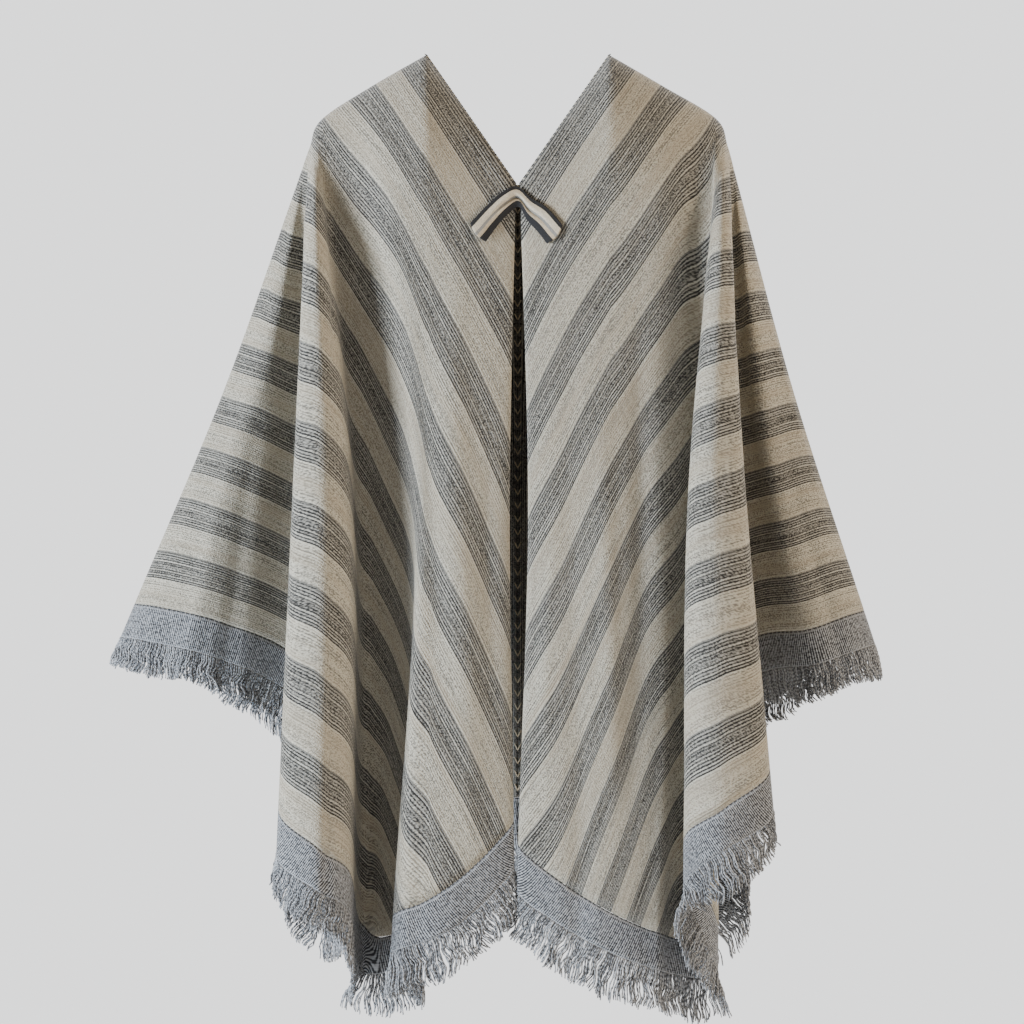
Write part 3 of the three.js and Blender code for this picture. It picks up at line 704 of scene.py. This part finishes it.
def neckEdge():
    # points along the four slanted neck edges, with the way along, off the cloth and outwards
    spots = []
    for side in sides:
        for first, last in (("front edge", "neck point"), ("centre back", "back neck point")):
            a, b = rowNumber(side, first), rowNumber(side, last)
            at = np.linspace(a, b, 120)
            edge, below = plainCloth(side, at, np.array([0.0, 0.03]))
            run = runOf(edge)
            count = int(run[-1] / stitch["neckPitch"])
            spot = (np.arange(count) + 0.5) / count * run[-1]
            p = atSpots(spot, run, edge)
            tangent = wayAlong(spot, run, edge)
            off = -unitRows(atSpots(spot, run, below - edge))
            off = unitRows(off - tangent * np.sum(off * tangent, axis=-1, keepdims=True))
            n = np.cross(tangent, off)
            facing = np.where(last == "neck point", -1.0, 1.0)
            n *= np.sign(n[:, 1:2]) * facing
            spots.append((p, tangent, off, n))
    return [np.concatenate(values) for values in zip(*spots)]


p, tangent, off, n = neckEdge()
q = np.linspace(0, 1, 9)[None, :, None]
neckRise = stitch["neckDeep"] + stitch["neckOver"]
wrap = (
    p[:, None]
    + n[:, None] * (stitch["neckProud"] * np.sin(math.pi * (q - 0.5)))
    + off[:, None] * (stitch["neckOver"] - neckRise * np.abs(2 * q - 1) ** 2.2)
    + tangent[:, None] * (stitch["neckSlant"] * (2 * q - 1))
)
neckStitches = {}
for k, shade in enumerate(["dark", "pale"]):
    pick = slice(k, None, 2)
    neckStitches[shade] = bendStitches("neck_stitches_" + shade, wrap[pick], (tangent[pick], n[pick]),
                                       stitch["neckThick"])


def centreBackLine():
    side = "right"
    t = np.linspace(0.0, 1.0, 300)
    line = plainCloth(side, np.array([float(lastRow(side))]), t)[:, 0]
    line[:, 0] = 0
    run = runOf(line)
    count = int((run[-1] - stitch["backFirst"]) / stitch["backPitch"])
    spot = stitch["backFirst"] + (np.arange(count) + 0.5) * stitch["backPitch"]
    return atSpots(spot, run, line), wayAlong(spot, run, line)


p, down = centreBackLine()
across = np.tile([1.0, 0, 0], (len(p), 1))
backStitches = {}
legs = {"tan": [], "dark": []}
frames = {"tan": [], "dark": []}
for face in (1, -1):
    n = np.cross(down, across) * face
    n *= np.sign(n[:, 1:2]) * face
    raised = 1.0 + stitch["backThick"] * 0.6
    for hand in (-1, 1):
        # two legs from the sides down to the seam
        leg = (
            p[:, None]
            + across[:, None] * (hand * stitch["backHalf"] * (1 - q))
            + down[:, None] * (stitch["legFall"] * q + stitch["legStart"])
            + n[:, None] * (raised - 0.5 * np.abs(2 * q - 1) ** 3)
        )
        legs["tan"].append(leg)
        frames["tan"].append((across, n))
    bar = (
        p[:, None]
        + across[:, None] * (stitch["barHalf"] * (2 * q - 1))
        + down[:, None] * (stitch["barDown"] + stitch["barSlant"] * (2 * q - 1))
        + n[:, None] * (raised + 0.4 - 0.7 * np.abs(2 * q - 1) ** 2)
    )
    legs["dark"].append(bar)
    frames["dark"].append((down, n))
for shade, lists in legs.items():
    both = tuple(np.concatenate([f[k] for f in frames[shade]]) for k in range(2))
    backStitches[shade] = bendStitches("back_stitches_" + shade, np.concatenate(lists), both,
                                       stitch["backThick"])
print("stitches made")


# Throat ribbon: its two edges, from end to end over the foot of the V, across and height
ribbon = {
    "thickness": 1.2,
    "clear": 1,
    "lift": 3.4,
    "crown": 1.8,
    "pinch": 3.4,
    "pinchReach": 24,
    "pinchMiddle": 0.56,
    "pinchBend": 0.06,
    "pinchWidth": 0.09,
    "lip": 1.3,
    "lipAbove": 0.2,
    "lipWidth": 0.12,
    "endFrom": 0.9,
    "endLength": 3.2,
    "endOut": 0.75,
    "endDown": 0.66,
    "steps": 96,
    "stepsAcross": 28,
}
ribbonRows = [
    (-49, -175, -33, -194),
    (-33, -158, -23, -180),
    (-16, -143, -12, -167),
    (-1, -137, 1, -158),
    (14, -149, 10, -172),
    (30, -159, 20, -183),
    (46, -177, 30, -196),
]


def frontDepth(x, z):
    # how far forward the front cloth lies behind a point of the ribbon
    depth = np.zeros_like(x)
    for side in sides:
        first, last = rowNumber(side, "front edge"), rowNumber(side, "neck point") + 1
        at = np.linspace(first, last, 61)
        t = np.linspace(0, 0.35, 80)
        points = plainCloth(side, at, t).reshape(-1, 3)
        mine = (x < 0) if side == "right" else (x >= 0)
        for i in zip(*np.nonzero(mine)):
            far = (points[:, 0] - x[i]) ** 2 + (points[:, 2] - z[i]) ** 2
            near = np.argsort(far)[:4]
            depth[i] = np.average(points[near, 1], weights=1 / (far[near] + 0.5))
    return depth


fromEnd = np.linspace(0, 1, ribbon["steps"] + 1)
rows = smooth(ribbonRows, np.linspace(0, len(ribbonRows) - 1, ribbon["steps"] + 1))
acrossRibbon = np.linspace(0, 1, ribbon["stepsAcross"] + 1)[:, None]
x = rows[:, 0] + (rows[:, 2] - rows[:, 0]) * acrossRibbon
z = rows[:, 1] + (rows[:, 3] - rows[:, 1]) * acrossRibbon
# both ends are cut to a blunt point
fromMiddle = np.abs(np.linspace(-1, 1, ribbon["steps"] + 1))
pastEnd = np.clip((fromMiddle - ribbon["endFrom"]) / (1 - ribbon["endFrom"]), 0, 1)
pastEnd = ribbon["endLength"] * pastEnd * (1 - np.abs(2 * acrossRibbon - 1) ** 1.5)
x = x + np.sign(x) * pastEnd * ribbon["endOut"]
z = z - pastEnd * ribbon["endDown"]
y = np.apply_along_axis(evened, 1, frontDepth(x, z), 3)
# the knotless fold at the foot of the V: a pleat that fades out along both tails
pleatFade = np.exp(-(x / ribbon["pinchReach"]) ** 4)
pleatMiddle = ribbon["pinchMiddle"] - ribbon["pinchBend"] * np.abs(x) / ribbon["pinchReach"]
fromPleat = acrossRibbon - pleatMiddle
pleat = ribbon["pinch"] * pleatFade * np.exp(-(fromPleat / ribbon["pinchWidth"]) ** 2)
upperLip = ribbon["lip"] * pleatFade * np.exp(-((fromPleat + ribbon["lipAbove"]) / ribbon["lipWidth"]) ** 2)
crown = ribbon["crown"] * np.sin(math.pi * acrossRibbon)
y = y - ribbon["clear"] - ribbon["lift"] - crown + pleat - upperLip
ribbonUv = np.stack(np.broadcast_arrays(fromEnd[None, :], acrossRibbon), -1)
ribbonPiece = layCloth("throat_ribbon_woven", np.stack([x, y, z], -1), ribbonUv, ribbon["thickness"])
print("ribbon made")


# Materials
def addNode(tree, kind, **values):
    node = tree.nodes.new("ShaderNode" + kind)
    for key, value in values.items():
        setattr(node, key, value)
    return node


def wire(tree, source, node, socket):
    if isinstance(source, (int, float, tuple)):
        node.inputs[socket].default_value = source
    else:
        tree.links.new(source, node.inputs[socket])


def maths(tree, operation, a, b=None, c=None):
    node = addNode(tree, "Math", operation=operation)
    for socket, value in enumerate((a, b, c)):
        if value is not None:
            wire(tree, value, node, socket)
    return node.outputs[0]


def mixed(tree, share, a, b, blend="MIX"):
    node = addNode(tree, "Mix", data_type="RGBA", blend_type=blend)
    wire(tree, share, node, 0)
    wire(tree, a, node, 6)
    wire(tree, b, node, 7)
    return node.outputs[2]


def fitted(tree, value, low, high, to0=0.0, to1=1.0):
    node = addNode(tree, "MapRange", interpolation_type="SMOOTHSTEP")
    for socket, v in enumerate((value, low, high, to0, to1)):
        wire(tree, v, node, socket)
    return node.outputs[0]


def times(tree, a, b):
    return maths(tree, "MULTIPLY", a, b)


def added(tree, a, strength, b):
    return maths(tree, "MULTIPLY_ADD", a, strength, b)


def waves(tree, value, turns=1):
    # a sine that goes round this many times for each unit of the value
    return maths(tree, "SINE", times(tree, value, 2 * math.pi * turns))


def noise(tree, x, y, seed, detail):
    place = addNode(tree, "CombineXYZ")
    for socket, v in enumerate((x, y, seed)):
        wire(tree, v, place, socket)
    node = addNode(tree, "TexNoise", noise_dimensions="3D")
    tree.links.new(place.outputs[0], node.inputs["Vector"])
    node.inputs["Scale"].default_value = 1.0
    node.inputs["Detail"].default_value = detail
    node.inputs["Roughness"].default_value = 0.55
    return node.outputs[0]


def steppedRamp(tree, value):
    ramp = addNode(tree, "ValToRGB")
    ramp.color_ramp.interpolation = "CONSTANT"
    tree.links.new(value, ramp.inputs[0])
    return ramp.outputs, ramp.color_ramp.elements


def newMaterial(name, roughness, sheen):
    material = bpy.data.materials.new(name)
    material.use_nodes = True
    tree = material.node_tree
    shader = tree.nodes["Principled BSDF"]
    shader.inputs["Roughness"].default_value = roughness
    shader.inputs["Specular IOR Level"].default_value = 0.25
    shader.inputs["Sheen Weight"].default_value = sheen
    shader.inputs["Sheen Roughness"].default_value = 0.45
    uv = addNode(tree, "UVMap")
    parts = addNode(tree, "SeparateXYZ")
    tree.links.new(uv.outputs[0], parts.inputs[0])
    return material, tree, shader, parts.outputs[0], parts.outputs[1]


def surface(tree, shader, colour, height, distance, strength):
    tree.links.new(colour, shader.inputs["Base Color"])
    node = addNode(tree, "Bump")
    wire(tree, height, node, "Height")
    node.inputs["Distance"].default_value = distance
    node.inputs["Strength"].default_value = strength
    tree.links.new(node.outputs[0], shader.inputs["Normal"])


# In the keys, Each is how often in a stripe and Run how often in a metre of cloth
stripesLook = {
    "light": (0.485, 0.45, 0.37, 1),
    "lightShade": (0.15, 0.14, 0.118, 1),
    "silver": (0.335, 0.32, 0.285, 1),
    "charcoal": (0.022, 0.021, 0.02, 1),
    "white": (0.56, 0.53, 0.455, 1),
    "tan": (0.38, 0.325, 0.245, 1),
    "roughness": 0.92,
    "sheen": 0.18,
    "edge": 0.004,
    "yarnsEach": 25.0,
    "yarnRun": 14.0,
    "dotRun": 680.0,
    "broadEach": 2.3,
    "broadRun": 2.4,
    "twillEach": 5.2,
    "twillRun": 170,
    "ribsEach": 13,
    "linesEach": 12,
}
# Threads over one dark and one light stripe: the start and the width in millimetres,
# the shade, and how strongly it shows
threadRows = [
    (0.0, 1.2, "charcoal", 0.45),
    (1.9, 1.1, "silver", 0.5),
    (3.4, 1.0, "charcoal", 0.5),
    (8.9, 1.0, "charcoal", 0.45),
    (10.4, 1.2, "white", 0.55),
    (12.0, 1.1, "charcoal", 0.55),
    (19.0, 1.0, "charcoal", 0.45),
    (20.3, 1.2, "white", 0.45),
    (22.0, 1.0, "charcoal", 0.5),
    (25.6, 1.1, "white", 0.45),
    (26.9, 1.1, "charcoal", 0.6),
    (29.2, 1.2, "charcoal", 0.45),
    (30.7, 1.3, "white", 0.4),
    (37.0, 0.8, "lightShade", 0.4),
    (59.5, 1.3, "white", 0.4),
]


def stripedCloth():
    look = stripesLook
    material, tree, shader, u, v = newMaterial("striped cloth", look["roughness"], look["sheen"])
    stripe = times(tree, u, cloth["mapStripes"])
    along = times(tree, maths(tree, "SUBTRACT", v, 0.5), cloth["mapLength"] * mm)
    pair = maths(tree, "FRACT", times(tree, stripe, 0.5))
    inside = maths(tree, "SUBTRACT", 0.25, maths(tree, "ABSOLUTE", maths(tree, "SUBTRACT", pair, 0.25)))
    dark = fitted(tree, inside, -look["edge"], look["edge"])
    # yarns along the stripes, the weave's small dots, and its slant
    yarnPlace = times(tree, stripe, look["yarnsEach"])
    yarn = noise(tree, yarnPlace, times(tree, along, look["yarnRun"]), 1.7, 1.0)
    dots = noise(tree, yarnPlace, times(tree, along, look["dotRun"]), 3.3, 0.0)
    broadPlace = times(tree, stripe, look["broadEach"])
    broad = noise(tree, broadPlace, times(tree, along, look["broadRun"]), 5.2, 1.0)
    across = times(tree, stripe, 2 * math.pi * look["twillEach"])
    across = added(tree, broad, 7.0, across)
    length = times(tree, along, 2 * math.pi * look["twillRun"])
    length = added(tree, yarn, 2.5, length)
    slant = maths(tree, "SINE", maths(tree, "ADD", across, length))
    counter = maths(tree, "SINE", maths(tree, "SUBTRACT", across, length))
    rib = waves(tree, stripe, look["ribsEach"])
    weave = times(tree, maths(tree, "ADD", slant, counter), 0.018)
    weave = added(tree, rib, 0.05, weave)
    grain = added(tree, dots, 0.56, times(tree, yarn, 0.44))
    weave = maths(tree, "ADD", weave, grain)
    # even lines of thread, clear in the dark stripes and faint in the light ones
    lines = waves(tree, stripe, look["linesEach"])
    lined = added(tree, weave, 0.62, added(tree, lines, 0.078, 0.19))
    darkColour = mixed(tree, fitted(tree, lined, 0.39, 0.64), look["charcoal"], look["silver"])
    lined = added(tree, weave, 0.8, added(tree, lines, 0.04, 0.10))
    lightColour = mixed(tree, fitted(tree, lined, 0.36, 0.58), look["lightShade"], look["light"])
    lightColour = mixed(tree, fitted(tree, broad, 0.38, 0.66, 0.05, 0.5), lightColour, look["tan"])
    colour = mixed(tree, dark, lightColour, darkColour)
    # single threads, each one broken a little by the weave
    threads, stops = steppedRamp(tree, pair)
    stops[1].position = 0.999
    stops[1].color = (0.5, 0.5, 0.5, 0)
    pairWidth = 2 * cloth["stripeWidth"]
    for start, width, shade, strength in threadRows:
        tone = look[shade][:3] + (strength,)
        first = stops[0] if start == 0 else stops.new(start / pairWidth)
        first.color = tone
        stops.new((start + width) / pairWidth).color = look[shade][:3] + (0,)
    share = times(tree, threads[1], fitted(tree, weave, 0.36, 0.56, 0.55, 1.0))
    colour = mixed(tree, share, colour, threads[0])
    height = added(tree, rib, 0.2, maths(tree, "ADD", yarn, dots))
    surface(tree, shader, colour, height, 0.0012, 0.7)
    return material


bandLook = {
    "pale": (0.385, 0.395, 0.415, 1),
    "deep": (0.025, 0.026, 0.03, 1),
    "seam": (0.03, 0.03, 0.034, 1),
    "ribPitch": 2.1,
    "dashPitch": 5.2,
    "picks": 15.5,
    "roughness": 0.92,
    "sheen": 0.15,
}


def bandCloth():
    look = bandLook
    material, tree, shader, u, v = newMaterial("band cloth", look["roughness"], look["sheen"])
    run = times(tree, u, cloth["mapLength"] / look["ribPitch"])
    rib = waves(tree, run)
    ribNoise = noise(tree, run, times(tree, v, 4.0), 2.2, 1.0)
    dots = noise(tree, times(tree, run, 0.9), times(tree, v, 15.0), 7.9, 0.0)
    broad = noise(tree, times(tree, u, 40.0), times(tree, v, 2.5), 4.1, 2.0)
    picks = waves(tree, v, look["picks"])
    share = added(tree, rib, 0.19, added(tree, picks, 0.04, 0.5))
    for grain, strength in ((ribNoise, 0.25), (dots, 0.55), (broad, 0.1)):
        share = added(tree, maths(tree, "SUBTRACT", grain, 0.5), strength, share)
    colour = mixed(tree, fitted(tree, share, 0.34, 0.74), look["deep"], look["pale"])
    # the sewn line is dark and dashed with a pale line under it, and the free edge is pale
    dash = waves(tree, u, cloth["mapLength"] / look["dashPitch"])
    dash = fitted(tree, dash, -0.8, -0.2, 0.25, 0.9)
    edgeRows = ((0.10, 0.07, 0.5, "pale"), (0.05, 0.03, dash, "seam"), (0.95, 0.97, 0.6, "pale"))
    for fromShare, toShare, strength, shade in edgeRows:
        edge = times(tree, fitted(tree, v, fromShare, toShare), strength)
        colour = mixed(tree, edge, colour, look[shade])
    height = added(tree, rib, 0.25, maths(tree, "ADD", ribNoise, dots))
    surface(tree, shader, colour, height, 0.0008, 0.6)
    return material


def yarnLook(name, pale, deep, twists):
    material, tree, shader, u, v = newMaterial(name, 0.9, 0.15)
    # each yarn has its own place across the map, and its twist runs along it
    ownPlace = times(tree, u, 60.0)
    own = noise(tree, ownPlace, 0.0, 8.8, 0.0)
    twist = maths(tree, "SINE", added(tree, v, twists, times(tree, u, 50.0)))
    fibres = noise(tree, ownPlace, times(tree, v, 26.0), 2.6, 2.0)
    share = maths(tree, "ADD", times(tree, own, 0.6), times(tree, fibres, 0.4))
    share = added(tree, twist, 0.10, share)
    colour = mixed(tree, fitted(tree, share, 0.30, 0.68), deep, pale)
    surface(tree, shader, colour, maths(tree, "ADD", twist, fibres), 0.0003, 0.5)
    return material


ribbonLook = {
    "black": (0.02, 0.02, 0.022, 1),
    "cream": (0.60, 0.53, 0.41, 1),
    "grey": (0.27, 0.26, 0.24, 1),
    "tan": (0.50, 0.41, 0.29, 1),
    "edges": [0.17, 0.43, 0.56, 0.71],
}


def ribbonCloth():
    look = ribbonLook
    material, tree, shader, u, v = newMaterial("striped ribbon", 0.8, 0.1)
    stripes, stops = steppedRamp(tree, v)
    stops[0].position = 0
    stops[0].color = look["black"]
    stops[1].position = look["edges"][0]
    stops[1].color = look["cream"]
    for place, shade in zip(look["edges"][1:], ["grey", "tan", "black"]):
        stops.new(place).color = look[shade]
    rib = maths(tree, "SINE", times(tree, u, 520.0))
    threads = noise(tree, times(tree, u, 90.0), times(tree, v, 40.0), 6.4, 2.0)
    shade = fitted(tree, threads, 0.25, 0.75, 0.72, 1.12)
    tone = addNode(tree, "CombineXYZ")
    for socket in range(3):
        tree.links.new(shade, tone.inputs[socket])
    colour = mixed(tree, 1.0, stripes[0], tone.outputs[0], "MULTIPLY")
    surface(tree, shader, colour, added(tree, rib, 0.3, threads), 0.0004, 0.6)
    return material


clothMaterial = stripedCloth()
bandMaterial = bandCloth()
fringeMaterial = yarnLook("fringe yarn", (0.40, 0.41, 0.43, 1), (0.10, 0.102, 0.11, 1), 60.0)
stitchShades = {
    "dark": ((0.05, 0.05, 0.05, 1), (0.015, 0.015, 0.016, 1)),
    "pale": ((0.62, 0.58, 0.48, 1), (0.42, 0.38, 0.30, 1)),
    "tan": ((0.66, 0.57, 0.43, 1), (0.46, 0.38, 0.27, 1)),
}
stitchMaterials = {shade: yarnLook(shade + " stitching yarn", pale, deep, 30.0)
                   for shade, (pale, deep) in stitchShades.items()}
ribbonMaterial = ribbonCloth()
print("materials made")


# Every piece rides on the one body, and stands for its solid where it has one
def dress(piece, material, slot, *nodes):
    piece.data.materials.clear()
    piece.data.materials.append(material)
    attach(piece, "root")
    if nodes:
        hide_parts(*nodes)


for side in sides:
    dress(panels[side], clothMaterial, "striped_cloth", "panel_" + side)
    for place in places:
        dress(bands[side, place], bandMaterial, "band_cloth", place + "_band_" + side)
        dress(fringes[side, place], fringeMaterial, "fringe_yarn", place + "_fringe_" + side)
dress(ribbonPiece, ribbonMaterial, "ribbon", "throat_ribbon")
for stitches in (neckStitches, backStitches):
    for shade in sorted(stitches):
        dress(stitches[shade], stitchMaterials[shade], "stitching")

# Floor and light
studio = {
    "floor": -1.42,
    "floorSize": 5.6,
    "floorColour": (0.85, 0.85, 0.84, 1),
    "aim": (0, 0, -0.45),
    "air": (0.93, 0.935, 0.94, 1),
    "front": 0.18,
    "behind": 1.9,
}
clearSelection()
bpy.ops.mesh.primitive_circle_add(vertices=96, radius=studio["floorSize"] / 2, fill_type="NGON",
                                  location=(0, 0, studio["floor"]))
floor = bpy.context.object
floor.name = "studio_floor"
bpy.ops.object.transform_apply(location=True, rotation=True, scale=True)
floorMaterial = bpy.data.materials.new("pale floor")
floorMaterial.use_nodes = True
floorShader = floorMaterial.node_tree.nodes["Principled BSDF"]
floorShader.inputs["Base Color"].default_value = studio["floorColour"]
floorShader.inputs["Roughness"].default_value = 0.8
floor.data.materials.append(floorMaterial)

# name, place, size in metres, power in watts and colour
lightRows = [
    ("window", (-4.6, -2.3, 0.1), 1.8, 510, (0.92, 0.96, 1.0)),
    ("cool floor glow", (-2.1, -1.2, -1.2), 0.9, 30, (0.42, 0.70, 1.0)),
    ("warm side", (3.0, -1.1, 0.3), 1.5, 88, (1.0, 0.84, 0.64)),
    ("top", (0.2, -0.8, 2.4), 2.4, 22, (1.0, 0.82, 0.58)),
    ("back", (0.4, 2.8, 0.9), 2.2, 14, (0.97, 0.98, 1.0)),
]
for name, place, size, power, colour in lightRows:
    bpy.ops.object.light_add(type="AREA", location=place)
    lamp = bpy.context.object
    lamp.name = name
    lamp.data.energy = power
    lamp.data.size = size
    lamp.data.color = colour
    aim = np.array(studio["aim"]) - np.array(place)
    tip = math.atan2(math.hypot(aim[0], aim[1]), -aim[2])
    lamp.rotation_euler = (tip, 0, math.atan2(aim[1], aim[0]) - math.pi / 2)

world = bpy.data.worlds.new("studio")
bpy.context.scene.world = world
world.use_nodes = True
# the room is pale behind the garment and dimmer in front, so that its folds keep their shade
room = world.node_tree
room.nodes["Background"].inputs[0].default_value = studio["air"]
direction = addNode(room, "TexCoord")
parts = addNode(room, "SeparateXYZ")
room.links.new(direction.outputs["Generated"], parts.inputs[0])
glow = fitted(room, parts.outputs[1], 0.1, 0.8, studio["front"], studio["behind"])
room.links.new(glow, room.nodes["Background"].inputs[1])
print("studio set")
